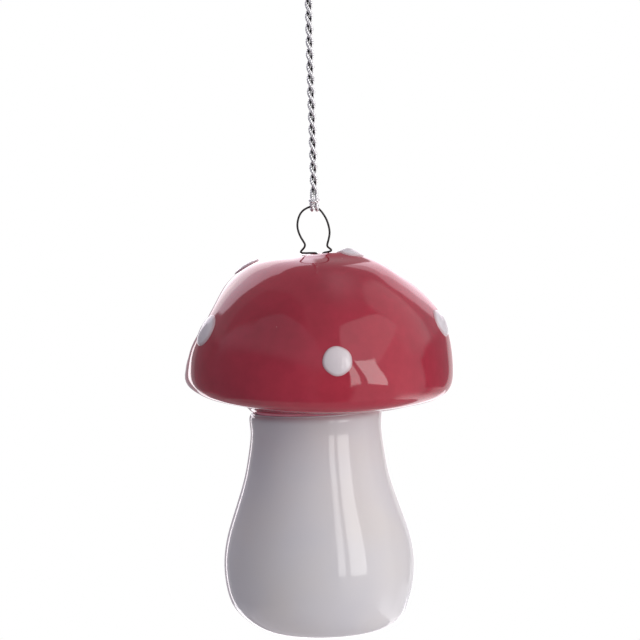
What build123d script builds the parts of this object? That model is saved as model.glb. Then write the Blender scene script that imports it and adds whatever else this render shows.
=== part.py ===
from build123d import *
from math import cos, hypot, pi, radians, sin, tan
import os

os.makedirs("parts", exist_ok=True)

# Ceramic mushroom ornament, hung by a bent wire from a doubled metallic cord.
# Millimetres, +Z up, +X to the right of someone who looks at the front, along +Y.
# The origin is the top of the cord's hanging eye, and everything hangs below it.

# Cord: one length, doubled through the hanger and tied off above in a knot with an eye
cord_diameter = 0.8
eye_width = 6.4
eye_height = 9.2
knot_diameter = 3.6
knot_height = 3.4
knot_face_share = 0.74
tail_reach = 5.4
tail_rise = 4.6
eye_waist_share = 0.37
arc_share = 0.45
knot_gap = 0.35
hanging_length = 48.0

# Wire hanger: a lopsided loop, two necks, two shoulders over the glaze and two legs
wire_diameter = 0.4
loop_width = 6.35
hanger_rise = 9.4
bight_clearance = 0.05
shoulder_gap = 0.5
left_shoulder = 3.0
right_shoulder = 3.2
right_shoulder_lift = 0.4
wire_bend = 0.3
neck_run = 0.35
leg_gap = 0.5
hook_reach = 4.0
hook_gap = 0.65

# Cap: a hollow red shell, lopsided as a hand-finished piece is
cap_radius = 26.5
cap_height = 30.9
cap_lean = 2.4
rim_share = 0.748
wall = 2.4
hole_radius = 1.3
hole_edge = 0.3
hole_shift = 0.8

# Joint of cap and stem: a spigot in a socket, with a bead of slip in the seam
neck_shift = -0.85
neck_wall = 2.1
spigot_radius = 10.8
spigot_height = 3.0
spigot_wall = 2.0
joint_clearance = 0.05
bead_height = 0.5
bead_proud = 0.15

# Stem: a hollow white shell with a closed flat foot
stem_radius = 18.7
stem_height = 42.9
foot_radius = 10.2

# Raised dots of white glaze on the cap
spot_radius = 2.95
spot_rise = 0.65
spot_skirt = 0.9
spot_round_share = 0.7

# Outline of the cap from its crown, round its rim, to its neck: radius as a share of
# the cap's radius, depth as a share of its height
cap_outline_shares = (
    (0.000, 0.000),
    (0.279, 0.006),
    (0.438, 0.031),
    (0.551, 0.084),
    (0.687, 0.184),
    (0.800, 0.300),
    (0.879, 0.416),
    (0.951, 0.545),
    (0.990, 0.665),
    (1.000, 0.748),
    (0.981, 0.823),
    (0.920, 0.873),
    (0.807, 0.919),
    (0.655, 0.957),
    (0.487, 0.992),
)

# Outline of the stem between its neck and its foot: how far it swells past the neck as a
# share of its whole swell, depth as a share of its height
stem_outline_shares = (
    (-0.009, 0.069),
    (0.117, 0.196),
    (0.271, 0.304),
    (0.542, 0.415),
    (0.800, 0.523),
    (0.984, 0.634),
    (1.000, 0.703),
    (0.932, 0.806),
    (0.639, 0.910),
    (0.120, 0.977),
)

# The hanger's loop on each side of its top: x as a share of its width, drop as a share
# of its rise above the crown; the last place is the neck
left_loop_shares = ((-0.386, 0.112), (-0.551, 0.394), (-0.465, 0.638), (-0.323, 0.809))
right_loop_shares = ((0.299, 0.080), (0.465, 0.383), (0.346, 0.787))

# Where each spot is seen from the middle of the cap, in degrees: round from the front
# towards the right, and up from the level
spot_angles = (
    (7.9, 7.3),
    (80.0, 18.6),
    (149.0, 14.0),
    (-143.0, 16.0),
    (-66.0, 19.6),
    (68.7, 72.1),
    (-99.0, 55.0),
    (168.0, 58.0),
)
spot_centre_share = 0.712

# Where a tail goes after it leaves the knot: across and out as shares of its reach, up as
# a share of its rise
tail_shares = ((0.00, 0.00, 0.00), (0.00, 0.12, 0.45), (0.08, 0.50, 0.85), (0.14, 1.00, 1.00))

# Heights and places that follow from these sizes
cord_radius = cord_diameter / 2
wire_radius = wire_diameter / 2
eye_z = -cord_radius
knot_top_z = -eye_height
knot_bottom_z = knot_top_z - knot_height
cord_top_z = knot_bottom_z - knot_gap
loop_z = cord_top_z - hanging_length
crown_z = loop_z - hanger_rise
seat_z = crown_z - cap_height
shoulder_z = seat_z - bead_height
foot_z = shoulder_z - stem_height
bight_radius = wire_radius + bight_clearance + cord_radius
socket_radius = spigot_radius + joint_clearance
neck_radius = spigot_radius + neck_wall
spot_centre_z = crown_z - cap_height * spot_centre_share


def inset(outline, depth):
    """The places of an outline, each moved inwards, square to the outline."""
    moved = []
    for i, (r, d) in enumerate(outline):
        before = outline[max(i - 1, 0)]
        after = outline[min(i + 1, len(outline) - 1)]
        run, fall = after[0] - before[0], after[1] - before[1]
        length = hypot(run, fall)
        moved.append((r - depth * fall / length, d + depth * run / length))
    return moved


def tube(points, radii, radius):
    """A round tube along straight runs joined by tangent arcs, and its length."""
    with BuildPart() as made:
        with BuildLine() as route:
            FilletPolyline(*points, radius=radii)
        wire = route.wires()[0]
        with BuildSketch(Plane(origin=wire @ 0, z_dir=wire % 0)):
            Circle(radius)
        sweep(path=wire)
    return made.part, wire.length


def corner_radii(points):
    """An arc as large as its two runs allow at each corner of a route."""
    radii = []
    for a, b, c in zip(points, points[1:], points[2:]):
        first, second = Vector(b) - Vector(a), Vector(c) - Vector(b)
        turn = radians(first.get_angle(second))
        radii.append(arc_share * min(first.length, second.length) / tan(turn / 2))
    return radii


# Solid form of the cap and its hollow, turned about an axis that leans to the right
tilt = radians(cap_lean)
rim_drop = cap_height * rim_share
crown = (rim_drop * sin(tilt), 0, crown_z - rim_drop + rim_drop * cos(tilt))
cap_plane = Plane(origin=crown, x_dir=(cos(tilt), 0, -sin(tilt)), z_dir=(0, -1, 0))
cap_axis = Axis(crown, (sin(tilt), 0, cos(tilt)))
cap_outline = [(cap_radius * r, cap_height * d) for r, d in cap_outline_shares]

with BuildPart() as cap_form:
    with BuildSketch(cap_plane):
        with BuildLine():
            skin = Spline(*[(r, -d) for r, d in cap_outline])
            Polyline(skin @ 1, (0, -cap_height), skin @ 0)
        make_face()
    revolve(axis=cap_axis)
    with BuildSketch(Plane.XY.offset(seat_z)):
        with Locations((neck_shift, 0)):
            Circle(neck_radius)
    extrude(amount=wall)
    split(bisect_by=Plane.XY.offset(seat_z), keep=Keep.TOP)

with BuildPart() as cap_hollow:
    with BuildSketch(cap_plane):
        with BuildLine():
            lining = Spline((0, -wall), *[(r, -d) for r, d in inset(cap_outline, wall)[1:]])
            Polyline(lining @ 1, (0, (lining @ 1).Y), lining @ 0)
        make_face()
    revolve(axis=cap_axis)

# Cap shell: the form less its hollow, with the hanger's hole and the stem's socket
with BuildPart() as cap_shell:
    add(cap_form.part)
    add(cap_hollow.part, mode=Mode.SUBTRACT)
    with BuildSketch(Plane.XY.offset(crown_z + wall)):
        with Locations((hole_shift, 0)):
            Circle(hole_radius)
    extrude(amount=-3 * wall, mode=Mode.SUBTRACT)
    rims = cap_shell.edges().filter_by_position(Axis.Z, crown_z - wall / 2, crown_z + wall)
    fillet(rims.group_by(SortBy.LENGTH)[0], radius=hole_edge)
    with BuildSketch(Plane.XY.offset(seat_z)):
        with Locations((neck_shift, 0)):
            Circle(socket_radius)
    extrude(amount=2 * wall, mode=Mode.SUBTRACT)
cap_shell.part.label = "cap_shell"
export_step(cap_shell.part, "parts/cap_shell.step")

# Stem shell: a turned outline with its spigot, hollow down to a closed foot
stem_plane = Plane(origin=(neck_shift, 0, shoulder_z), x_dir=(1, 0, 0), z_dir=(0, -1, 0))
stem_axis = Axis((neck_shift, 0, 0), (0, 0, 1))
stem_outline = [(neck_radius, 0)]
swell = stem_radius - neck_radius
stem_outline += [(neck_radius + swell * r, stem_height * d) for r, d in stem_outline_shares]
stem_outline += [(foot_radius, stem_height)]
stem_inside = inset(stem_outline, wall)[1:]
spigot_top = bead_height + spigot_height
spigot_bore = spigot_radius - spigot_wall

with BuildPart() as stem_shell:
    with BuildSketch(stem_plane):
        with BuildLine():
            outside = Spline(*[(r, -d) for r, d in stem_outline])
            Polyline(outside @ 1, (0, -stem_height), (0, spigot_top))
            Polyline((0, spigot_top), (spigot_radius, spigot_top), (spigot_radius, 0), outside @ 0)
        make_face()
    revolve(axis=stem_axis)
    with BuildSketch(stem_plane):
        with BuildLine():
            inside = Spline(*[(r, -d) for r, d in stem_inside])
            Polyline(inside @ 1, (0, (inside @ 1).Y), (0, spigot_top))
            Polyline((0, spigot_top), (spigot_bore, spigot_top), (spigot_bore, 0), inside @ 0)
        make_face()
    revolve(axis=stem_axis, mode=Mode.SUBTRACT)
stem_shell.part.label = "stem_shell"
export_step(stem_shell.part, "parts/stem_shell.step")

# Bead of slip that fills the seam between cap and stem
with BuildPart() as seam_bead:
    with BuildSketch(stem_plane):
        with BuildLine():
            nose = neck_radius + bead_proud
            shank = nose - bead_height / 2
            Line((shank, 0), (socket_radius, 0))
            Line((socket_radius, 0), (socket_radius, bead_height))
            Line((socket_radius, bead_height), (shank, bead_height))
            ThreePointArc((shank, bead_height), (nose, bead_height / 2), (shank, 0))
        make_face()
    revolve(axis=stem_axis)
seam_bead.part.label = "seam_bead"
export_step(seam_bead.part, "parts/seam_bead.step")

# Spots: domes of glaze that sit on the cap, each square to the surface under it
for number, (around, up) in enumerate(spot_angles, start=1):
    level, rise = radians(around), radians(up)
    aim = Vector(cos(rise) * sin(level), -cos(rise) * cos(level), sin(rise))
    sight = Axis(Vector(0, 0, spot_centre_z), aim)
    hits = cap_form.part.find_intersection_points(sight)
    place, outwards = max(hits, key=lambda hit: (hit[0] - sight.position).dot(aim))
    seat = Plane(origin=place, z_dir=outwards)
    with BuildPart() as spot:
        with BuildSketch(Plane(origin=place, x_dir=seat.x_dir, z_dir=-seat.y_dir)):
            with BuildLine():
                shoulder_of_dome = (spot_radius * spot_round_share, spot_rise * spot_round_share)
                Spline((spot_radius, 0), shoulder_of_dome, (0, spot_rise), tangents=[(0, 1), (-1, 0)])
                Polyline((0, spot_rise), (0, -spot_skirt), (spot_radius, -spot_skirt), (spot_radius, 0))
            make_face()
        revolve(axis=Axis(place, outwards))
        add(cap_form.part, mode=Mode.SUBTRACT)
    spot.part.label = f"spot_{number}"
    export_step(spot.part, f"parts/spot_{number}.step")

# Wire hanger: each side runs from the loop's top through its neck and shoulder, in over
# the glaze, down the crown's hole and out under the ceiling of the hollow
tip_z = crown_z + shoulder_gap + wire_radius
hook_z = crown_z - wall - hook_gap - wire_radius


def hanger_side(loop_shares, shoulder, shoulder_lift, leg, foot):
    """Draw one side of the hanger in its own plane, from the loop's top to the hook's end."""
    place, heading = (0, loop_z), (1 if shoulder > 0 else -1, 0)
    for x_share, drop_share in loop_shares:
        goal = (loop_width * x_share, loop_z - hanger_rise * drop_share)
        arc = TangentArc(place, goal, tangent=heading)
        place, heading = goal, ((arc % 1).X, (arc % 1).Z)
    below_neck = (place[0] + heading[0] * neck_run, place[1] + heading[1] * neck_run)
    corners = [place, below_neck, (shoulder, tip_z + shoulder_lift)]
    corners += [(leg, tip_z), (leg, hook_z), (foot, hook_z)]
    FilletPolyline(*corners, radius=wire_bend)


with BuildPart() as wire_hanger:
    with BuildLine(Plane.XZ) as bent_wire:
        left_leg = hole_shift - leg_gap
        right_leg = hole_shift + leg_gap
        hanger_side(left_loop_shares, -left_shoulder, 0, left_leg, left_leg - hook_reach)
        hanger_side(
            right_loop_shares, right_shoulder, right_shoulder_lift, right_leg, right_leg + hook_reach
        )
    wire_line = bent_wire.wires()[0]
    with BuildSketch(Plane(origin=wire_line @ 0, z_dir=wire_line % 0)):
        Circle(wire_radius)
    sweep(path=wire_line)
wire_hanger.part.label = "wire_hanger"
export_step(wire_hanger.part, "parts/wire_hanger.step")

# Cord below the knot: two taut legs and the bight that goes round the hanger's wire
with BuildPart() as cord_legs:
    with BuildLine(Plane.YZ) as doubled:
        Line((-bight_radius, cord_top_z), (-bight_radius, loop_z))
        CenterArc((0, loop_z), bight_radius, 180, 180)
        Line((bight_radius, loop_z), (bight_radius, cord_top_z))
    cord_line = doubled.wires()[0]
    with BuildSketch(Plane(origin=cord_line @ 0, z_dir=cord_line % 0)):
        Circle(cord_radius)
    sweep(path=cord_line)
cord_legs.part.label = "cord_legs"
export_step(cord_legs.part, "parts/cord_legs.step")

# Knot: the tied lump of cord, with flat faces where the strands enter it
knot_face = knot_diameter / 2 * knot_face_share
with BuildPart() as cord_knot:
    with BuildSketch(Plane.XZ):
        with BuildLine():
            ThreePointArc(
                (knot_face, knot_bottom_z),
                (knot_diameter / 2, knot_bottom_z + knot_height / 2),
                (knot_face, knot_top_z),
            )
            Polyline((knot_face, knot_top_z), (0, knot_top_z), (0, knot_bottom_z), (knot_face, knot_bottom_z))
        make_face()
    revolve(axis=Axis.Z)
cord_knot.part.label = "cord_knot"
export_step(cord_knot.part, "parts/cord_knot.step")

# Eye: one strand out of the knot's top and back, open for a hook
strand_gap = knot_face - cord_radius
eye_side = eye_width / 2 - cord_radius
eye_waist_z = knot_top_z + eye_height * eye_waist_share
eye_route = [
    (-strand_gap, 0, knot_top_z),
    (-eye_side, 0, eye_waist_z),
    (-eye_side, 0, eye_z),
    (eye_side, 0, eye_z),
    (eye_side, 0, eye_waist_z),
    (strand_gap, 0, knot_top_z),
]
eye_radii = corner_radii(eye_route)
eye_part, eye_length = tube(eye_route, eye_radii, cord_radius)
with BuildPart() as cord_eye:
    add(eye_part)
    split(bisect_by=Plane.XY.offset(knot_top_z), keep=Keep.TOP)
cord_eye.part.label = "cord_eye"
export_step(cord_eye.part, "parts/cord_eye.step")

# Tails: the two short cut ends that stand out of the knot, to the front and the back
with BuildPart() as cord_tails:
    for side in (-1, 1):
        tail_route = []
        for x_share, y_share, z_share in tail_shares:
            y = strand_gap + tail_reach * y_share
            tail_route.append((side * tail_reach * x_share, side * y, knot_top_z + tail_rise * z_share))
        tail_radii = corner_radii(tail_route)
        tail_part, tail_length = tube(tail_route, tail_radii, cord_radius)
        add(tail_part)
    split(bisect_by=Plane.XY.offset(knot_top_z), keep=Keep.TOP)
cord_tails.part.label = "cord_tails"
export_step(cord_tails.part, "parts/cord_tails.step")

# What the cord measures: each radius, and each tube's volume beside section times length
section = pi * cord_radius**2
print("bight radius", bight_radius, "legs", cord_line.length, "volume", cord_legs.part.volume)
print("section times length", section * cord_line.length)
print("eye radii", eye_radii, "length", eye_length, "volume", cord_eye.part.volume)
print("section times length", section * eye_length)
print("tail radii", tail_radii, "length", tail_length, "volume", cord_tails.part.volume)
print("section times length", 2 * section * tail_length)
print("crown", crown_z, "seat", seat_z, "foot", foot_z, "loop", loop_z)
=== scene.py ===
import bpy
import bmesh
from math import atan2, cos, exp, pi, radians, sin
from mathutils import Matrix, Vector, noise
from mathutils.bvhtree import BVHTree
from mathutils.kdtree import KDTree


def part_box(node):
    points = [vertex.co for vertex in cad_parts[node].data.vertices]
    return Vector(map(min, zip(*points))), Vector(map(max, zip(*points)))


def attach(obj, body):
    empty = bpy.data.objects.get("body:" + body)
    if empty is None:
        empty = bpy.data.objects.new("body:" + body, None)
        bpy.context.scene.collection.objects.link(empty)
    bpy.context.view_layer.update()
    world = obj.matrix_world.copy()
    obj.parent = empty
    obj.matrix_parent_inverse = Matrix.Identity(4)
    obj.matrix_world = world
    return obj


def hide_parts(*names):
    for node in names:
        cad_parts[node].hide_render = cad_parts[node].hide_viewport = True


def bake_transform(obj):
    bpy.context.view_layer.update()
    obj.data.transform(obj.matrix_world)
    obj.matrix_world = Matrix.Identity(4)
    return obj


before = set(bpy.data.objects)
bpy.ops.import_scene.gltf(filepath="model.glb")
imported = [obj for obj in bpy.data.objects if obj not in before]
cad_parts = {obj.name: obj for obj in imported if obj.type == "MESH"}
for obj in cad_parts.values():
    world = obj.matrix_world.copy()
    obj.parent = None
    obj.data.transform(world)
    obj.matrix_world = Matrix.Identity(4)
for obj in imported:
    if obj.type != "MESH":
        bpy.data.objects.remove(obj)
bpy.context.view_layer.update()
scene = bpy.context.scene
mm = 0.001
print("frame loaded:", len(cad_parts), "nodes")

# places that everything hangs from, read from the frame, in metres
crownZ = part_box("stem_shell")[1].z + 0.0279     # the level of the crown at its hole
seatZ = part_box("seam_bead")[1].z                # where the cap meets the seam
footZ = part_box("stem_shell")[0].z
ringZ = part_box("cord_legs")[0].z + 0.00105      # middle of the wire at the top of its loop
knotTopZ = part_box("cord_knot")[1].z
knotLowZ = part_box("cord_knot")[0].z

# camera, at the photograph's place
cameraPlan = {"place": (0.5, -675, -29), "lens": 194.2, "tilt": 4.6, "roll": 1.52}


def makeCamera():
    data = bpy.data.cameras.new("camera")
    data.lens = cameraPlan["lens"]
    data.sensor_width = 36
    data.clip_start, data.clip_end = 0.05, 20
    cam = bpy.data.objects.new("camera", data)
    scene.collection.objects.link(cam)
    place = Matrix.Translation(Vector(cameraPlan["place"]) * mm)
    tilt = Matrix.Rotation(radians(90 - cameraPlan["tilt"]), 4, "X")
    cam.matrix_world = place @ tilt @ Matrix.Rotation(radians(-cameraPlan["roll"]), 4, "Z")
    scene.camera = cam


makeCamera()


# shared tools
def keep(name, mesh):
    obj = bpy.data.objects.new(name, mesh)
    scene.collection.objects.link(obj)
    for face in mesh.polygons:
        face.use_smooth = True
    return obj


def fromBmesh(name, bm):
    mesh = bpy.data.meshes.new(name)
    bm.to_mesh(mesh)
    bm.free()
    return keep(name, mesh)


def bake(obj):      # applies the modifiers, so that later moves work on the fine mesh
    mesh = bpy.data.meshes.new_from_object(obj.evaluated_get(bpy.context.evaluated_depsgraph_get()))
    old, obj.data = obj.data, mesh
    obj.modifiers.clear()
    bpy.data.meshes.remove(old)
    return obj


def turned(name, outline, steps, closed=False):     # outline in mm: (radius, height)
    bm = bmesh.new()
    line = [bm.verts.new((r * mm, 0, z * mm)) for r, z in outline]
    edges = [bm.edges.new(pair) for pair in zip(line, line[1:])]
    if closed:
        edges.append(bm.edges.new((line[-1], line[0])))
    bmesh.ops.spin(
        bm, geom=line + edges, cent=(0, 0, 0), axis=(0, 0, 1), angle=2 * pi, steps=steps, use_merge=True
    )
    bmesh.ops.remove_doubles(bm, verts=bm.verts, dist=0.002 * mm)
    bmesh.ops.recalc_face_normals(bm, faces=bm.faces)
    obj = fromBmesh(name, bm)
    smooth = obj.modifiers.new("smooth", "SUBSURF")
    smooth.levels = smooth.render_levels = 1
    return bake(obj)


def ease(value, low, high):
    t = min(max((value - low) / (high - low), 0), 1)
    return t * t * (3 - 2 * t)


def wobble(place, size, seed):      # smooth noise from -1 to 1 whose waves are about size mm long
    return noise.noise(place / (size * mm) + Vector((seed, seed * 1.7, -seed)))


def routeLine(points, resolution=24):       # the smooth line of a route of mm points
    curve = bpy.data.curves.new("route", "CURVE")
    curve.dimensions = "3D"
    spline = curve.splines.new("NURBS")
    spline.points.add(len(points) - 1)
    for point, place in zip(spline.points, points):
        point.co = (*[c * mm for c in place], 1)
    spline.order_u = 3
    spline.use_endpoint_u = True
    spline.resolution_u = resolution
    obj = bpy.data.objects.new("route", curve)
    scene.collection.objects.link(obj)
    mesh = bpy.data.meshes.new_from_object(obj)
    line = [v.co.copy() for v in mesh.vertices]
    bpy.data.objects.remove(obj)
    bpy.data.curves.remove(curve)
    bpy.data.meshes.remove(mesh)
    return line


def evenly(line, step):     # the same line with its points a fixed step apart
    placed, left = [line[0].copy()], step
    for a, b in zip(line, line[1:]):
        run, gone = (b - a).length, 0.0
        while run - gone >= left:
            gone += left
            placed.append(a.lerp(b, gone / run))
            left = step
        left -= run - gone
    placed.append(line[-1].copy())
    return placed


def frames(line):       # a direction across and one along at each point, without twist
    across, made = None, []
    for i, place in enumerate(line):
        along = (line[min(i + 1, len(line) - 1)] - line[max(i - 1, 0)]).normalized()
        across = along.orthogonal() if across is None else across - along * across.dot(along)
        across.normalize()
        made.append((place, across.copy(), along.cross(across)))
    return made


def laid(line, count, offset, pitch):       # lines that twist round a line
    lays = [[] for _ in range(count)]
    gone = 0.0
    for i, (place, across, side) in enumerate(frames(line)):
        gone += (place - line[i - 1]).length if i else 0
        for k, lay in enumerate(lays):
            turn = 2 * pi * (gone / pitch + k / count)
            lay.append(place + offset * (cos(turn) * across + sin(turn) * side))
    return lays


def tubes(name, lines, radius, sides):      # round tubes along lines, as one mesh
    curve = bpy.data.curves.new(name, "CURVE")
    curve.dimensions = "3D"
    curve.bevel_depth = radius
    curve.bevel_resolution = sides // 4
    curve.use_fill_caps = True
    for line in lines:
        spline = curve.splines.new("POLY")
        spline.points.add(len(line) - 1)
        for point, place in zip(spline.points, line):
            point.co = (*place, 1)
    obj = bpy.data.objects.new(name, curve)
    scene.collection.objects.link(obj)
    mesh = bpy.data.meshes.new_from_object(obj)
    bpy.data.objects.remove(obj)
    bpy.data.curves.remove(curve)
    mesh.name = name
    return keep(name, mesh)


# cord: a doubled length of thin metallic cord, each strand laid up from three plies
cordPlan = {
    "pair": 0.42,           # mm from the middle of the pair to the middle of a strand
    "halfTurn": 2.45,       # mm along the pair in which the strands change sides
    "openTurn": 3.4,        # the same just above the hitch, where they open out
    "plies": 3,
    "plyAt": 0.2,           # mm from a strand's middle to a ply's
    "plyRadius": 0.205,
    "plyPitch": 1.45,
    "plySides": 8,
    "step": 0.12,           # mm between the points of a strand's line
    "pairStep": 0.15,       # and of the pair's
    "hitchTop": 2.5,        # mm above the wire where the twist ends and the hitch starts
    "opens": 1.0,           # mm above the hitch over which the strands part
    "uneven": (0.05, 4, 3),         # share, length in mm and seed of the unevenness of the twist
    "pairGrooveShade": (0.3, 0.62),      # mm from the pair's middle over which the painted shade in its groove goes from dark to bright
    "plyGrooveShade": (0.24, 0.36),      # the same painted shade, from a strand's middle
}
# the left half of the hitch on the ring: across, back and up from the middle of the wire, in mm
hitchRoute = [
    (-0.43, 0.0, 2.5), (-0.43, -0.22, 1.6), (-0.42, -0.62, 0.5), (-0.44, -0.62, -0.55), (-0.5, 0.1, -0.82),
    (-0.56, 0.76, -0.2), (-0.62, 0.64, 0.85), (-0.76, -0.3, 1.2), (-0.6, -1.16, 1.1), (0, -1.34, 0.95),
]
ringAt, knotAt = ringZ / mm, knotLowZ / mm
pairRoute = [(0, 0, ringAt), (0.06, 0.03, -50), (-0.08, -0.03, -37), (-0.08, 0.02, -25), (0, 0, knotAt + 1)]


def plied(name, lines):
    plies = []
    for line in lines:
        even = evenly(line, cordPlan["step"] * mm)
        plies += laid(even, cordPlan["plies"], cordPlan["plyAt"] * mm, cordPlan["plyPitch"] * mm)
    return tubes(name, plies, cordPlan["plyRadius"] * mm, cordPlan["plySides"])


def pairStrands(axis):      # one strand's line: down one side, hitched on the wire, up the other
    up, down, turn, gone = [], [], 0.0, 0.0
    uneven, length, seed = cordPlan["uneven"]
    for i, place in enumerate(axis):
        step = (place - axis[i - 1]).length if i else 0
        gone += step
        loose = 1 - ease(gone, 0, cordPlan["opens"] * mm)
        half = cordPlan["halfTurn"] + (cordPlan["openTurn"] - cordPlan["halfTurn"]) * loose
        turn -= pi * step / (half * mm)
        reach = cordPlan["pair"] * mm * (1 + uneven * wobble(place, length, seed))
        offset = reach * Vector((cos(turn), sin(turn), 0))
        up.append(place + offset)
        down.append(place - offset)
    right = [(-x, y, z) for x, y, z in reversed(hitchRoute[:-1])]
    hitch = routeLine([(x, y, z + ringAt) for x, y, z in hitchRoute + right], 8)
    return list(reversed(down)) + hitch[1:-1] + up


def paintGrooveShade(obj, line, reach):     # paints shade on what lies near to a line: the painted shade in the cord's grooves
    tree = KDTree(len(line))
    for i, place in enumerate(line):
        tree.insert(place, i)
    tree.balance()
    marks = obj.data.attributes.get("paintedGrooveShade") or obj.data.attributes.new("paintedGrooveShade", "FLOAT", "POINT")
    for v, mark in zip(obj.data.vertices, marks.data):
        mark.value = max(mark.value, 1 - ease(tree.find(v.co)[2] / mm, *reach))


axisLine = routeLine(pairRoute)
twistFrom = ringZ + cordPlan["hitchTop"] * mm
twistLine = [place for place in evenly(axisLine, cordPlan["pairStep"] * mm) if place.z > twistFrom]
pairLine = pairStrands(twistLine)
hangingCord = plied("hangingCord", [pairLine])
# painted shade: the cord is painted dark in the grooves between its two strands and between their plies
paintGrooveShade(hangingCord, twistLine, cordPlan["pairGrooveShade"])
paintGrooveShade(hangingCord, evenly(pairLine, cordPlan["step"] * mm), cordPlan["plyGrooveShade"])
print("cord: pair laid,", len(hangingCord.data.polygons), "faces")

# knot, eye and cut ends, above the picture
knotPlan = {"spread": 0.47, "rise": 0.8, "strandApart": 0.4, "points": 60}
eyeRoute = [
    (-0.93, 0, -9.6), (-2.8, 0, -5.8), (-2.8, 0, -0.4), (2.8, 0, -0.4), (2.8, 0, -5.8), (0.93, 0, -9.6)
]
tailRoute = [(0, 0.93, -9.6), (0, 1.58, -7.13), (0.43, 3.63, -5.29), (0.76, 6.33, -4.6)]


def knotLine(lift):
    middle = (knotTopZ + knotLowZ) / 2
    line = []
    for k in range(knotPlan["points"] + 1):
        t = 2 * pi * k / knotPlan["points"]
        x = knotPlan["spread"] * (sin(t) + 2 * sin(2 * t))
        y = knotPlan["spread"] * (cos(t) - 2 * cos(2 * t))
        line.append(Vector((x * mm, y * mm, middle + (lift - knotPlan["rise"] * sin(3 * t)) * mm)))
    return line


mirrored = [(-x, -y, z) for x, y, z in tailRoute]
upperCord = []
for name, lines in (
    ("cordKnot", [knotLine(knotPlan["strandApart"]), knotLine(-knotPlan["strandApart"])]),
    ("cordEye", [routeLine(eyeRoute)]),
    ("cordTails", [routeLine(tailRoute), routeLine(mirrored)]),
):
    piece = plied(name, lines)
    for line in lines:
        # painted shade in the grooves between the plies
        paintGrooveShade(piece, evenly(line, cordPlan["step"] * mm), cordPlan["plyGrooveShade"])
    upperCord.append(piece)
cordKnot, cordEye, cordTails = upperCord
print("cord: knot, eye and ends laid")

# hanger: one bent wire, as points across and up from the top of its loop, in mm
wirePlan = {
    "radius": 0.2, "sides": 16, "step": 0.12,
    "legs": (0.3, 1.3),     # where the two legs go down through the hole
    "legTop": 9.6,          # mm under the loop's top
    "hookReach": 4.0, "hookDrop": 13.1, "hookBend": 0.4,
}
loopLeft = [
    (-1.05, -0.10), (-2.38, -0.80), (-3.12, -1.92), (-3.48, -3.45), (-3.36, -4.65), (-2.90, -5.92),
    (-2.26, -6.98), (-1.98, -7.55), (-2.25, -8.15), (-2.92, -8.78), (-2.88, -9.08), (-2.30, -9.16),
    (-0.60, -9.16), (0.18, -9.20),
]
loopRight = [
    (1.02, -0.62), (1.99, -2.00), (2.52, -3.22), (2.84, -4.72), (2.82, -5.65), (2.60, -6.62),
    (2.34, -7.40), (2.28, -7.92), (2.62, -8.24), (3.10, -8.62), (3.02, -8.86), (2.50, -9.02), (1.45, -9.16),
]


def wireSide(points, leg, reach):
    drop, bend = wirePlan["hookDrop"], wirePlan["hookBend"]
    inside = [
        (leg, -wirePlan["legTop"]), (leg, -drop + bend), (leg + 0.1 * reach, -drop), (leg + reach, -drop)
    ]
    return [(x, 0, ringAt + z) for x, z in points + inside]


leftLeg, rightLeg = wirePlan["legs"]
left = wireSide(loopLeft, leftLeg, -wirePlan["hookReach"])
right = wireSide(loopRight, rightLeg, wirePlan["hookReach"])
wireLine = routeLine(list(reversed(left)) + [(0, 0, ringAt)] + right, 8)
wireLine = evenly(wireLine, wirePlan["step"] * mm)
wireHanger = tubes("wireHanger", [wireLine], wirePlan["radius"] * mm, wirePlan["sides"])
print("hanger: wire bent")

seamTilt = 0.02     # rise of the seam from left to right, per mm

# cap: outline of the shell in mm, radius and height from the crown, outside then inside
capPlan = {
    "steps": 96,
    "lean": 2.4,            # degrees that the cap leans to the right
    "rimDrop": 23.1,        # height under the crown of the point it leans about
    "hole": 0.8,            # mm that the hole lies to the right
    "neck": -0.85,          # mm that the neck lies to the left
    "waves": ((17, 0.16, 2.0), (7, 0.045, 5.0), (3.4, 0.014, 9.0)),     # length, height and seed of the waves
    "trim": (0.9962, 0.9975),       # shares that keep the waves within the real width and depth
    "sag": (1.5, -3),       # mm that the rim hangs lower in front, and where that is, in degrees
    "lipWave": (0.16, 5, 8),        # height, length and seed of the red edge's wandering at the seam
    # the next are ranges in mm, across and down from the crown, over which a thing sets in or fades out
    "sagFrom": ((19, 25), (17, 25.5)),
    "holeUpright": ((3.4, 7.5), (2.6, 5)),
    "neckUpright": ((13.0, 15.0), (29.7, 30.5)),
    "neckInside": ((10.9, 11.5), (26, 28)),
    "calmHole": (4.0, 5.8),
    "calmNeck": ((12.5, 16), (29.6, 30.5)),
    # painted reflection: the range down from the crown where the red is painted pale pink
    "paintedSeamSheen": (29.9, 30.5),
    "lip": (30.4, 30.8),
}
capOutside = [
    (1.30, -1.7), (1.30, -0.8), (1.38, -0.28), (1.62, -0.05), (2.10, 0.0), (3.0, -0.01), (4.2, -0.05),
    (5.8, -0.13), (7.6, -0.28), (9.6, -0.55), (11.6, -1.02), (13.3, -1.75), (14.9, -2.75), (16.6, -4.15),
    (18.3, -5.75), (19.9, -7.5), (21.3, -9.35), (22.5, -11.2), (23.5, -13.1), (24.5, -15.1), (25.3, -17.1),
    (25.95, -19.1), (26.35, -21.0), (26.55, -22.8), (26.5, -24.3), (26.15, -25.5), (25.4, -26.55),
    (24.2, -27.25), (22.4, -28.0), (20.0, -28.75), (17.3, -29.4), (15.2, -29.85), (13.4, -30.15),
    (12.5, -30.4), (12.15, -30.65), (11.95, -30.9), (11.6, -31.0),
]
capInside = [
    (11.0, -30.9), (10.9, -30.3), (10.9, -28.2), (12.6, -27.3), (17.0, -26.6), (21.5, -25.6), (23.7, -23.6),
    (23.9, -21.0), (23.0, -16.5), (21.0, -12.2), (18.0, -8.3), (14.0, -5.3), (9.0, -3.1), (4.0, -2.5),
    (1.7, -2.4), (1.35, -2.2),
]
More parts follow.
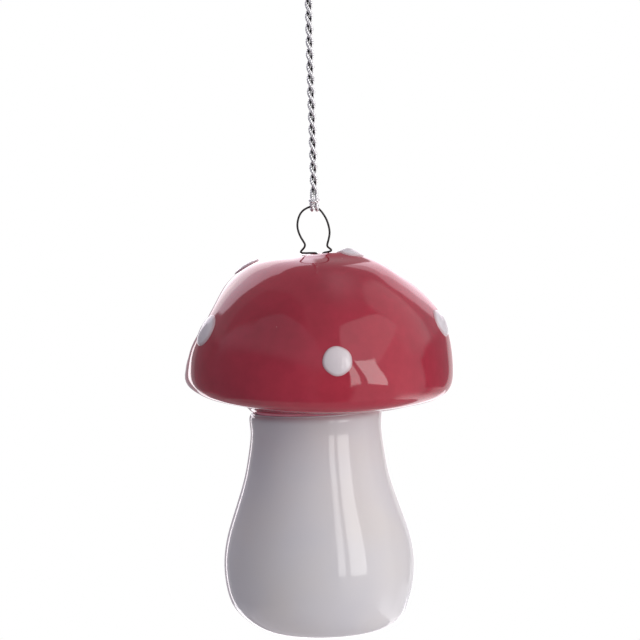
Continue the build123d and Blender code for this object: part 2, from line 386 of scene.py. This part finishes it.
# places where the maker's hand shows: degrees round from the front, mm from the axis and under the
# crown, then reach and push in mm
capPushes = [
    (90, 6.5, 0.3, 5.5, 0.5), (-90, 8.0, 0.5, 4.5, -0.35), (90, 14.5, 2.8, 3.6, -0.75),
    (90, 24.0, 13.5, 7.0, 1.2), (-90, 21.6, 12.0, 4.6, -2.2), (-112, 21.5, 10.5, 5.0, -1.4),
    (-92, 25.5, 19.0, 3.5, -0.7), (-95, 26.0, 25.0, 2.6, 0.3), (-76, 25.8, 22.8, 4.5, -0.25),
    (-106, 25.8, 22.4, 3.2, 0.8),
]
# low ridges in the glaze: both ends as above, then reach and push
capRidges = [
    ((10.0, 25.5, 19.2), (30.0, 25.8, 23.2), 3.0, 0.48), ((30.0, 5.4, 0.1), (62.0, 7.4, 0.4), 2.1, 0.55),
    ((-14.0, 5.4, 0.1), (12.0, 5.4, 0.1), 1.8, 0.28),
]


def capSurface():
    outline = [(r, crownZ / mm + z) for r, z in capOutside + capInside]
    obj = turned("capShell", outline, capPlan["steps"], closed=True)
    lean = Matrix.Rotation(radians(capPlan["lean"]), 4, "Y")
    middle = Vector((0, 0, crownZ - capPlan["rimDrop"] * mm))
    lowest, front = capPlan["sag"]
    rimAcross, rimDown = capPlan["sagFrom"]
    holeAcross, holeDown = capPlan["holeUpright"]
    neckAcross, neckDown = capPlan["neckUpright"]
    insideAcross, insideDown = capPlan["neckInside"]
    for v in obj.data.vertices:
        plain = v.co.copy()
        leaned = middle + lean @ (plain - middle)
        across = Vector((plain.x, plain.y)).length / mm
        depth = (crownZ - plain.z) / mm
        facing = cos(atan2(plain.x, -plain.y) - radians(front))
        atRim = ease(across, *rimAcross) * ease(depth, *rimDown)
        leaned.z -= lowest * mm * atRim * (0.5 + 0.5 * facing) ** 4
        atHole = (1 - ease(across, *holeAcross)) * (1 - ease(depth, *holeDown))
        atNeck = ease(depth, *neckDown) * (1 - ease(across, *neckAcross))
        atNeck += ease(depth, *insideDown) * (1 - ease(across, *insideAcross)) * (1 - atNeck)
        settled = leaned.lerp(plain + Vector((capPlan["hole"] * mm, 0, 0)), atHole)
        seated = plain + Vector((capPlan["neck"] * mm, 0, seamTilt * plain.x))
        v.co = settled.lerp(seated, atNeck)
    return obj


bodyMiddle = 15     # mm under the top of a shell, the point that its outside faces away from


def roundTo(around, across, depth, topZ):      # a place from degrees round, mm from the axis and mm down
    a = radians(around)
    return Vector((across * sin(a) * mm, -across * cos(a) * mm, topZ - depth * mm))


def handShape(obj, pushes, ridges, waves, topZ, calm):     # moves the wall outwards, calm where it must fit
    middle = Vector((0, 0, topZ - bodyMiddle * mm))
    rods = [(roundTo(*p[:3], topZ), roundTo(*p[:3], topZ), *p[3:]) for p in pushes]
    rods += [(roundTo(*a, topZ), roundTo(*b, topZ), reach, push) for a, b, reach, push in ridges]
    normals = [v.normal.copy() for v in obj.data.vertices]
    for v, normal in zip(obj.data.vertices, normals):
        place = v.co.copy()
        move = sum(height * wobble(place, length, seed) for length, height, seed in waves)
        for a, b, reach, push in rods:
            run = b - a
            share = min(max((place - a).dot(run) / max(run.length_squared, 1e-12), 0), 1)
            move += push * exp(-((place - a - run * share).length / (reach * mm)) ** 2)
        outwards = normal if normal.dot(place - middle) > 0 else -normal
        v.co = place + outwards * move * mm * calm(place)


def capCalm(place):
    across = (Vector((place.x, place.y)) - Vector((capPlan["hole"] * mm, 0))).length / mm
    depth = (crownZ - place.z) / mm
    neckAcross, neckDown = capPlan["calmNeck"]
    return ease(across, *capPlan["calmHole"]) * (1 - ease(depth, *neckDown) * (1 - ease(across, *neckAcross)))


capShell = capSurface()
handShape(capShell, capPushes, capRidges, capPlan["waves"], crownZ, capCalm)
# painted reflection: marks the underside near the seam, where the red is painted pale pink
paintedSeamSheen = capShell.data.attributes.new("paintedSeamSheen", "FLOAT", "POINT")
waveHeight, waveLength, waveSeed = capPlan["lipWave"]
for v, mark in zip(capShell.data.vertices, paintedSeamSheen.data):     # the red is painted a pale pink near the seam, a painted reflection of light on the underside, and its edge wanders
    depth = (crownZ - v.co.z) / mm
    mark.value = ease(depth, *capPlan["paintedSeamSheen"])
    wave = waveHeight * mm * wobble(Vector((v.co.x, v.co.y, 0)), waveLength, waveSeed)
    v.co.z += ease(depth, *capPlan["lip"]) * wave
capShell.data.transform(Matrix.Diagonal((*capPlan["trim"], 1, 1)))
print("cap:", len(capShell.data.polygons), "faces")

# stem: outline of the shell in mm, radius and height from the seat
stemPlan = {
    "steps": 96,
    "shift": -0.85,         # mm that the stem lies to the left
    "footShift": 1.1,       # mm that its foot lies back to the right
    "waves": ((15, 0.13, 11.0), (6, 0.03, 14.0)),       # length, height and seed of the waves
    # the next are ranges in mm down from the seat
    "calmTop": (1.2, 4),
    "calmFoot": (41.5, 43),
    "tiltFades": (1, 9),
    "footFrom": (37, 43),
}
stemOutside = [
    (11.6, 0.3), (12.1, 0.32), (12.55, 0.16), (12.92, -0.25), (13.08, -0.75), (13.05, -1.5), (12.92, -2.7),
    (12.88, -4.0), (13.1, -6.2), (13.57, -8.9), (14.0, -11.3), (14.55, -13.6), (15.25, -15.95),
    (16.05, -18.3), (16.85, -20.6), (17.6, -22.9), (18.2, -25.3), (18.6, -27.7), (18.75, -30.0),
    (18.65, -32.4), (18.3, -35.0), (17.6, -37.4), (16.55, -39.5), (15.15, -41.2), (13.5, -42.4),
    (11.8, -43.05), (10.7, -43.3), (10.1, -43.4), (9.4, -43.4), (8.7, -43.35), (8.3, -43.1), (7.6, -43.0),
    (4.0, -42.95), (0, -42.95),
]
stemInside = [
    (0, -40.6), (8.0, -40.5), (12.2, -39.4), (15.2, -36.2), (16.3, -30.0), (15.2, -23.2), (12.4, -15.4),
    (10.9, -9.0), (9.9, -3.0), (8.8, -0.4), (8.8, 2.5), (9.2, 2.9), (10.4, 2.9), (10.75, 2.5),
    (10.8, 0.4), (11.2, 0.32),
]
stemPushes = [(90, 13.3, 6.0, 5.0, 0.1), (-90, 15.0, 41, 4.0, -0.25)]


def stemCalm(place):
    depth = (seatZ - place.z) / mm
    return ease(depth, *stemPlan["calmTop"]) * (1 - ease(depth, *stemPlan["calmFoot"]))


outline = [(r, seatZ / mm + z) for r, z in stemInside[1:] + stemOutside]
stemShell = turned("stemShell", outline + [(0, seatZ / mm - 40.6)], stemPlan["steps"])
stemShell.data.transform(Matrix.Translation((stemPlan["shift"] * mm, 0, 0)))
handShape(stemShell, stemPushes, [], stemPlan["waves"], seatZ, stemCalm)
for v in stemShell.data.vertices:
    depth = (seatZ - v.co.z) / mm
    v.co.z += seamTilt * v.co.x * (1 - ease(depth, *stemPlan["tiltFades"]))
    v.co.x += stemPlan["footShift"] * mm * ease(depth, *stemPlan["footFrom"])
print("stem:", len(stemShell.data.polygons), "faces")

# seam: the bead of white slip between cap and stem
seamPlan = {
    "radius": 12.3, "height": 0.18, "round": 0.22, "wider": 1.1, "points": 10, "steps": 96,
    "wave": (0.12, 4, 21),      # height, length and seed of its unevenness
}
ring = []
for k in range(seamPlan["points"]):
    a = 2 * pi * k / seamPlan["points"]
    height = seatZ / mm + seamPlan["height"] + seamPlan["round"] * sin(a)
    ring.append((seamPlan["radius"] + seamPlan["wider"] * seamPlan["round"] * cos(a), height))
seamBead = turned("seamBead", ring, seamPlan["steps"], closed=True)
seamBead.data.transform(Matrix.Translation((stemPlan["shift"] * mm, 0, 0)))
waveHeight, waveLength, waveSeed = seamPlan["wave"]
for v in seamBead.data.vertices:
    flat = Vector((v.co.x, v.co.y, 0))
    v.co += flat.normalized() * waveHeight * mm * wobble(flat, waveLength, waveSeed)
    v.co.z += seamTilt * v.co.x
print("seam: bead laid")

# spots: drops of white glaze that follow the cap under them
spotPlan = {
    "radius": 2.95, "rise": 0.62, "rings": 12, "steps": 48, "sunk": 0.16, "edgeWave": 0.05,
    "profile": (2.6, 0.62),     # powers that make a drop flat in the middle and steep at its edge
    "aimFrom": 22,              # mm under the crown, the point that the spots are placed from
    "larger": {5: 1.14},        # the spots that are larger than the rest
}
capTree = BVHTree.FromPolygons(
    [v.co for v in capShell.data.vertices], [p.vertices for p in capShell.data.polygons]
)


def dropHeight(share):      # height over the glaze at a share of the drop's radius, as a share of its rise
    flat, steep = spotPlan["profile"]
    return max(1 - share ** flat, 0) ** steep


def spotOn(number):
    low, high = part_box(f"spot_{number}")
    radius = spotPlan["radius"] * spotPlan["larger"].get(number, 1)
    inside = Vector((0, 0, crownZ - spotPlan["aimFrom"] * mm))
    aim = ((low + high) / 2 - inside).normalized()
    place, outwards, _, _ = capTree.ray_cast(inside + aim * 0.05, -aim)
    across = outwards.orthogonal().normalized()
    side = outwards.cross(across)
    bm = bmesh.new()
    bmesh.ops.create_circle(bm, cap_ends=True, cap_tris=True, segments=spotPlan["steps"], radius=1)
    bmesh.ops.subdivide_edges(
        bm, edges=[e for e in bm.edges if min(v.co.length for v in e.verts) < 0.1], cuts=spotPlan["rings"]
    )
    bmesh.ops.triangulate(bm, faces=bm.faces)
    rimShare = bm.verts.layers.float.new("rimShare")
    for v in bm.verts:
        r = v.co.length
        v[rimShare] = r
        uneven = wobble(v.co.normalized() * 0.01 if r else v.co, 9, number)
        grown = radius * mm * (1 + spotPlan["edgeWave"] * uneven)
        spread = place + (across * v.co.x + side * v.co.y) * grown
        seat, _, _, _ = capTree.ray_cast(spread + outwards * 0.004, -outwards)
        height = spotPlan["rise"] * dropHeight(r) - spotPlan["sunk"] * ease(r, 0.93, 1)
        v.co = (seat or spread) + outwards * height * mm
    rim = [e for e in bm.edges if e.is_boundary]
    lowered = bmesh.ops.extrude_edge_only(bm, edges=rim)["geom"]
    skirt = [g for g in lowered if isinstance(g, bmesh.types.BMVert)]
    bmesh.ops.translate(bm, verts=skirt, vec=-outwards * spotPlan["sunk"] * 2 * mm)
    bmesh.ops.holes_fill(bm, edges=[e for e in bm.edges if e.is_boundary])
    bmesh.ops.recalc_face_normals(bm, faces=bm.faces)
    return fromBmesh(f"spot{number}", bm)


spots = [spotOn(number) for number in range(1, 9)]
print("spots:", len(spots))


# materials
def material(name, **values):
    made = bpy.data.materials.new(name)
    made.use_nodes = True
    shader = made.node_tree.nodes["Principled BSDF"]
    for socket, value in values.items():
        shader.inputs[socket.replace("_", " ")].default_value = value
    return made, made.node_tree, shader


def node(tree, kind, **values):
    made = tree.nodes.new(kind)
    for key, value in values.items():
        if hasattr(made, key):
            setattr(made, key, value)
        else:
            made.inputs[key.replace("_", " ")].default_value = value
    return made


def ramp(tree, source, stops):
    made = tree.nodes.new("ShaderNodeValToRGB")
    while len(made.color_ramp.elements) < len(stops):
        made.color_ramp.elements.new(0.5)
    for element, (place, colour) in zip(made.color_ramp.elements, stops):
        element.position = place
        element.color = (*colour, 1)
    tree.links.new(source, made.inputs["Fac"])
    return made.outputs["Color"]


def blendColours(tree, share, first, second, kind="MIX"):
    made = node(tree, "ShaderNodeMix", data_type="RGBA", blend_type=kind)
    for socket, value in ((made.inputs[0], share), (made.inputs[6], first), (made.inputs[7], second)):
        if isinstance(value, bpy.types.NodeSocket):
            tree.links.new(value, socket)
        else:
            socket.default_value = value if isinstance(value, float) else (*value, 1)
    return made.outputs[2]


def noiseOf(tree, coords, size, detail=2.0, rough=0.5):       # size of the waves in mm
    made = node(tree, "ShaderNodeTexNoise", Scale=1000 / size, Detail=detail, Roughness=rough)
    tree.links.new(coords, made.inputs["Vector"])
    return made.outputs["Fac"]


def bump(tree, shader, heights):        # heights: source and height in mm
    normal = None
    for source, height in heights:
        made = node(tree, "ShaderNodeBump", Strength=1.0, Distance=height * mm)
        tree.links.new(source, made.inputs["Height"])
        if normal:
            tree.links.new(normal, made.inputs["Normal"])
        normal = made.outputs["Normal"]
    tree.links.new(normal, shader.inputs["Normal"])


glazePlan = {
    "red": (0.350, 0.0185, 0.0400), "redDeep": (0.275, 0.0125, 0.0300), "redThin": (0.405, 0.0240, 0.0455),
    # painted reflection: the pale pink on the next line is laid on the cap's underside by the seam
    "redSeamSheen": (0.78, 0.27, 0.34),
    "redSpeck": (0.42, 0.12, 0.13),
    "white": (0.600, 0.582, 0.592), "whiteWarm": (0.620, 0.590, 0.578), "whiteCool": (0.560, 0.552, 0.580),
    "whiteSpeck": (0.40, 0.36, 0.34),
    "spot": (0.640, 0.585, 0.610), "spotWarm": (0.66, 0.60, 0.605), "spotCool": (0.60, 0.56, 0.59),
    "spotEdge": (0.50, 0.33, 0.35),
    "redBroad": 22, "redCloud": 2.2, "redSpecks": 2.6, "redRough": 9,       # mm, as are the next two lines
    "whiteBroad": 20, "whiteSpecks": 3.4, "whiteRough": 8,
    "peel": 1.3, "whitePeel": 1.56, "peelHeight": 0.0035,
    "rough": (0.035, 0.085),        # least and most roughness
}


def speckMask(tree, coords, size, amount):
    cells = node(tree, "ShaderNodeTexVoronoi", Scale=1000 / size)
    tree.links.new(coords, cells.inputs["Vector"])
    spot = ramp(tree, cells.outputs["Distance"], [(0.0, (1, 1, 1)), (0.05, (1, 1, 1)), (0.075, (0, 0, 0))])
    split = node(tree, "ShaderNodeSeparateColor")
    tree.links.new(cells.outputs["Color"], split.inputs[0])
    stops = [(0.0, (0, 0, 0)), (1 - amount, (0, 0, 0)), (1 - amount + 0.01, (1, 1, 1))]
    rare = ramp(tree, split.outputs[0], stops)
    return blendColours(tree, 1.0, spot, rare, "MULTIPLY")


def unevenGloss(tree, shader, source, least, most):
    rough = node(tree, "ShaderNodeMapRange", To_Min=least, To_Max=most)
    tree.links.new(source, rough.inputs["Value"])
    tree.links.new(rough.outputs["Result"], shader.inputs["Roughness"])


def redGlaze():
    made, tree, shader = material("redGlaze", Roughness=0.06, IOR=1.52)
    coords = node(tree, "ShaderNodeTexCoord").outputs["Object"]
    broad = noiseOf(tree, coords, glazePlan["redBroad"])
    colour = ramp(tree, broad, [
        (0.30, glazePlan["redDeep"]), (0.52, glazePlan["red"]), (0.74, glazePlan["redThin"])
    ])
    cloud = noiseOf(tree, coords, glazePlan["redCloud"], 4.0, 0.6)
    shade = ramp(tree, cloud, [(0.35, (0.90, 0.88, 0.88)), (0.65, (1, 1, 1))])
    colour = blendColours(tree, 1.0, colour, shade, "MULTIPLY")
    # painted reflection: pale pink painted on the underside near the seam
    thin = node(tree, "ShaderNodeAttribute", attribute_name="paintedSeamSheen").outputs["Fac"]
    colour = blendColours(tree, thin, colour, glazePlan["redSeamSheen"])
    specks = speckMask(tree, coords, glazePlan["redSpecks"], 0.05)
    colour = blendColours(tree, specks, colour, glazePlan["redSpeck"])
    tree.links.new(colour, shader.inputs["Base Color"])
    unevenGloss(tree, shader, noiseOf(tree, coords, glazePlan["redRough"], 3.0), *glazePlan["rough"])
    peel = noiseOf(tree, coords, glazePlan["peel"])
    bump(tree, shader, [(peel, glazePlan["peelHeight"]), (specks, 0.01)])
    return made


def whiteGlaze(name, main, warm, cool, edge=None):
    made, tree, shader = material(name, Roughness=0.06, IOR=1.46)
    coords = node(tree, "ShaderNodeTexCoord").outputs["Object"]
    broad = noiseOf(tree, coords, glazePlan["whiteBroad"])
    colour = ramp(tree, broad, [(0.32, cool), (0.5, main), (0.70, warm)])
    specks = speckMask(tree, coords, glazePlan["whiteSpecks"], 0.05)
    colour = blendColours(tree, specks, colour, glazePlan["whiteSpeck"])
    if edge:
        rim = node(tree, "ShaderNodeAttribute", attribute_name="rimShare")
        thin = ramp(tree, rim.outputs["Fac"], [(0.0, (0, 0, 0)), (0.80, (0, 0, 0)), (0.97, (1, 1, 1))])
        colour = blendColours(tree, thin, colour, edge)
    tree.links.new(colour, shader.inputs["Base Color"])
    unevenGloss(tree, shader, noiseOf(tree, coords, glazePlan["whiteRough"], 3.0), *glazePlan["rough"])
    peel = noiseOf(tree, coords, glazePlan["whitePeel"])
    bump(tree, shader, [(peel, glazePlan["peelHeight"]), (specks, -0.008)])
    return made


def hangerWire():
    made, tree, shader = material("hangerWire", Metallic=0.8, Roughness=0.4)
    coords = node(tree, "ShaderNodeTexCoord").outputs["Object"]
    scale = noiseOf(tree, coords, 0.6, 4.0, 0.65)
    colour = ramp(tree, scale, [(0.35, (0.020, 0.019, 0.019)), (0.62, (0.055, 0.052, 0.050))])
    tree.links.new(colour, shader.inputs["Base Color"])
    unevenGloss(tree, shader, scale, 0.28, 0.55)
    bump(tree, shader, [(noiseOf(tree, coords, 0.25, 3.0), 0.006)])
    return made


def metallicCord():
    made, tree, shader = material("metallicCord", Metallic=0.8, Roughness=0.25)
    coords = node(tree, "ShaderNodeTexCoord").outputs["Object"]
    foil = noiseOf(tree, coords, 0.35, 3.0, 0.6)
    colour = ramp(tree, foil, [
        (0.3, (0.62, 0.61, 0.62)), (0.5, (0.88, 0.88, 0.88)), (0.7, (0.96, 0.96, 0.96))
    ])
    # painted shade: the cord goes near black in its grooves, following the marks laid on the mesh
    paintedGrooveShade = node(tree, "ShaderNodeAttribute", attribute_name="paintedGrooveShade").outputs["Fac"]
    shadeShare = ramp(tree, paintedGrooveShade, [(0.25, (0, 0, 0)), (0.75, (1, 1, 1))])
    colour = blendColours(tree, shadeShare, colour, (0.035, 0.035, 0.037))
    tree.links.new(colour, shader.inputs["Base Color"])
    unevenGloss(tree, shader, foil, 0.15, 0.35)
    bump(tree, shader, [(noiseOf(tree, coords, 0.16, 2.0), 0.012)])
    return made


red = redGlaze()
white = whiteGlaze("whiteGlaze", glazePlan["white"], glazePlan["whiteWarm"], glazePlan["whiteCool"])
spotWhite = whiteGlaze(
    "spotGlaze", glazePlan["spot"], glazePlan["spotWarm"], glazePlan["spotCool"], glazePlan["spotEdge"]
)
wireMetal = hangerWire()
cordMetal = metallicCord()
print("materials made")

# who moves with what, and what each piece stands for
dress = [
    (capShell, "ornament", red, "red_glaze", ["cap_shell"]),
    (stemShell, "ornament", white, "white_glaze", ["stem_shell"]),
    (seamBead, "ornament", white, "white_glaze", ["seam_bead"]),
    (wireHanger, "hanger", wireMetal, "hanger_wire", ["wire_hanger"]),
    (cordKnot, "knot", cordMetal, "metallic_cord", ["cord_knot"]),
    (cordEye, "knot", cordMetal, "metallic_cord", ["cord_eye"]),
    (cordTails, "knot", cordMetal, "metallic_cord", ["cord_tails"]),
    (hangingCord, None, cordMetal, "metallic_cord", ["cord_legs"]),
]
dress += [(spot, "ornament", spotWhite, "spot_glaze", [f"spot_{n}"]) for n, spot in enumerate(spots, start=1)]
for piece, body, finish, slotName, standsFor in dress:
    piece.data.materials.clear()
    piece.data.materials.append(finish)
    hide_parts(*standsFor)
    if body:
        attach(piece, body)
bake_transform(hangingCord)
print("pieces dressed:", len(dress))

# stage: pale floor under the hanging piece
floorPlan = {"drop": 300, "radius": 420, "colour": (0.78, 0.78, 0.78), "lift": 0.4}


def makeFloor():
    bm = bmesh.new()
    bmesh.ops.create_circle(bm, cap_ends=True, segments=64, radius=floorPlan["radius"] * mm)
    bmesh.ops.translate(bm, verts=bm.verts, vec=(0, 0, footZ - floorPlan["drop"] * mm))
    floor = fromBmesh("floor", bm)
    made, tree, shader = material("paleFloor", Roughness=0.8)
    shader.inputs["Base Color"].default_value = (*floorPlan["colour"], 1)
    light = node(tree, "ShaderNodeLightPath")
    lift = node(tree, "ShaderNodeMath", operation="MULTIPLY")
    lift.inputs[1].default_value = floorPlan["lift"]
    tree.links.new(light.outputs["Is Camera Ray"], lift.inputs[0])
    shader.inputs["Emission Color"].default_value = (1, 1, 1, 1)
    tree.links.new(lift.outputs[0], shader.inputs["Emission Strength"])
    floor.data.materials.append(made)


# studio: panels of light and shade all round. The softness of their edges and their corners are in
# degrees, and the corners go round from the front towards the right, and up
studioPlan = {
    "base": (0.50, 0.49, 0.52),
    "panels": [
        ("ceiling, shaded", 1.5, (0.40, 0.37, 0.40),
         [(-114, 58), (-107, 28), (-60, 48), (-10, 50), (-20, 66), (-70, 74)]),
        ("left wall, far", 1.2, (0.64, 0.63, 0.72),
         [(-112, 26), (-94, 36), (-70, 49), (-66, -45), (-112, -35)]),
        ("left wall, near", 1.2, (0.63, 0.63, 0.70),
         [(-76, 46), (-52, 58), (-27, 56), (-2, 47), (-2, -50), (-76, -50)]),
        ("left wall, low", 9, (0.31, 0.31, 0.36),
         [(-118, 22), (-60, 32), (-4, 24), (-4, -60), (-118, -60)]),
        ("left flag", 3, (0.28, 0.27, 0.30),
         [(-140, 18), (-104, 22), (-104, -25), (-140, -25)]),
        ("right wall", 3, (0.88, 0.85, 0.88),
         [(26, 42), (60, 45), (100, 50), (112, 40), (104, -40), (26, -40)]),
        ("right wall, side", 3, (1.0, 0.98, 1.0),
         [(82, 56), (110, 60), (130, 48), (126, 14), (90, 16)]),
        ("overhead, right", 13, (1.1, 1.02, 1.08),
         [(20, 80), (60, 64), (120, 60), (170, 70), (150, 86)]),
        ("right wall, lit", 1.2, (1.35, 1.32, 1.34),
         [(26, 50), (48, 52.5), (67, 51), (81, 48), (95, 33), (60, 25), (26, 28)]),
        ("right, low", 6, (1.0, 0.98, 1.0),
         [(118, 2), (178, 8), (178, -40), (118, -40)]),
        ("front, low", 5, (0.32, 0.31, 0.33),
         [(-4, 14), (26, 14), (26, -60), (-4, -60)]),
        ("low light, right", 9, (2.6, 2.55, 2.6),
         [(90, -24), (168, -24), (168, -62), (90, -62)]),
        ("right flag", 2, (0.30, 0.28, 0.30),
         [(100, 10), (118, 15), (143, 10), (147, -3), (138, -15), (103, -13)]),
        ("sweep, right", 1.2, (1.5, 1.32, 1.44),
         [(139, 13), (134, 38), (150, 47), (178, 47), (178, 0)]),
        ("sweep, right, lit", 1.2, (2.35, 2.05, 2.25),
         [(150, 12), (146, 36), (178, 40), (178, 0)]),
        ("sweep, left", 1.0, (2.05, 1.9, 2.15),
         [(179, 46), (-164, 54), (-138, 58), (-131, 46), (-125, 36), (-128, 26), (-150, 14), (179, 14)]),
        ("sweep, left, lit", 1.0, (2.75, 2.62, 2.8),
         [(178, 0), (-177, 28), (-159, 39), (-151, 34), (-139, 20), (-146, 10)]),
        ("backdrop", 2.0, (1.6, 1.58, 1.6),
         [(165, 8), (-176, 6), (180, -2), (180, -30), (165, -30)]),
        ("edge card, left", 1.2, (0.47, 0.42, 0.46),
         [(180, -2), (-158, 5), (-150, 6), (-150, -60), (180, -60)]),
        ("edge gap", 0.7, (3.2, 3.0, 3.1),
         [(-155.5, 24), (-150.5, 24), (-150.5, -26), (-155.5, -26)]),
        ("crest card", 0.7, (0.50, 0.48, 0.50),
         [(179.7, 8), (175, 11), (168, 24), (166, 50), (179.7, 50)]),
        ("low gap, left", 0.7, (2.6, 2.5, 2.6),
         [(-149, -17), (-149, -26), (180, -26), (180, -17)]),
        ("low gap, right", 0.7, (2.6, 2.5, 2.6),
         [(150, -17), (150, -26), (-179, -26), (-179, -17)]),
        ("window, left pane", 0.6, (4.2, 4.15, 4.1),
         [(23, 29), (32, 29), (32, -8), (23, -8)]),
        ("window, right pane", 0.6, (4.9, 4.85, 4.8),
         [(38, 29), (59, 29), (59, -8), (38, -8)]),
    ],
}


def aimed(around, up):
    a, e = radians(around), radians(up)
    return Vector((sin(a) * cos(e), -cos(a) * cos(e), sin(e)))


def makeStudio():
    world = bpy.data.worlds.new("studio")
    scene.world = world
    world.use_nodes = True
    tree = world.node_tree
    tree.nodes.clear()
    direction = node(tree, "ShaderNodeTexCoord").outputs["Generated"]
    light = None
    for name, soft, colour, corners in studioPlan["panels"]:
        ways = [aimed(*corner) for corner in corners]
        middle = sum(ways, Vector())
        mask = None
        for a, b in zip(ways, ways[1:] + ways[:1]):
            side = a.cross(b).normalized()
            side = side if side.dot(middle) > 0 else -side
            over = node(tree, "ShaderNodeVectorMath", operation="DOT_PRODUCT")
            over.inputs[1].default_value = side
            tree.links.new(direction, over.inputs[0])
            edge = node(tree, "ShaderNodeMapRange", interpolation_type="SMOOTHSTEP")
            edge.inputs["From Min"].default_value = -sin(radians(soft))
            edge.inputs["From Max"].default_value = sin(radians(soft))
            tree.links.new(over.outputs["Value"], edge.inputs["Value"])
            within = edge.outputs["Result"]
            if mask:
                both = node(tree, "ShaderNodeMath", operation="MULTIPLY")
                tree.links.new(mask, both.inputs[0])
                tree.links.new(within, both.inputs[1])
                within = both.outputs[0]
            mask = within
        light = blendColours(tree, mask, light or studioPlan["base"], colour)
        light.node.label = name
    lit = node(tree, "ShaderNodeBackground")
    tree.links.new(light, lit.inputs["Color"])
    seen = node(tree, "ShaderNodeBackground", Color=(1, 1, 1, 1))
    pick = node(tree, "ShaderNodeMixShader")
    tree.links.new(node(tree, "ShaderNodeLightPath").outputs["Is Camera Ray"], pick.inputs[0])
    tree.links.new(lit.outputs[0], pick.inputs[1])
    tree.links.new(seen.outputs[0], pick.inputs[2])
    tree.links.new(pick.outputs[0], node(tree, "ShaderNodeOutputWorld").inputs["Surface"])


makeFloor()
makeStudio()
scene.view_settings.view_transform = "Standard"
print("stage and light made")
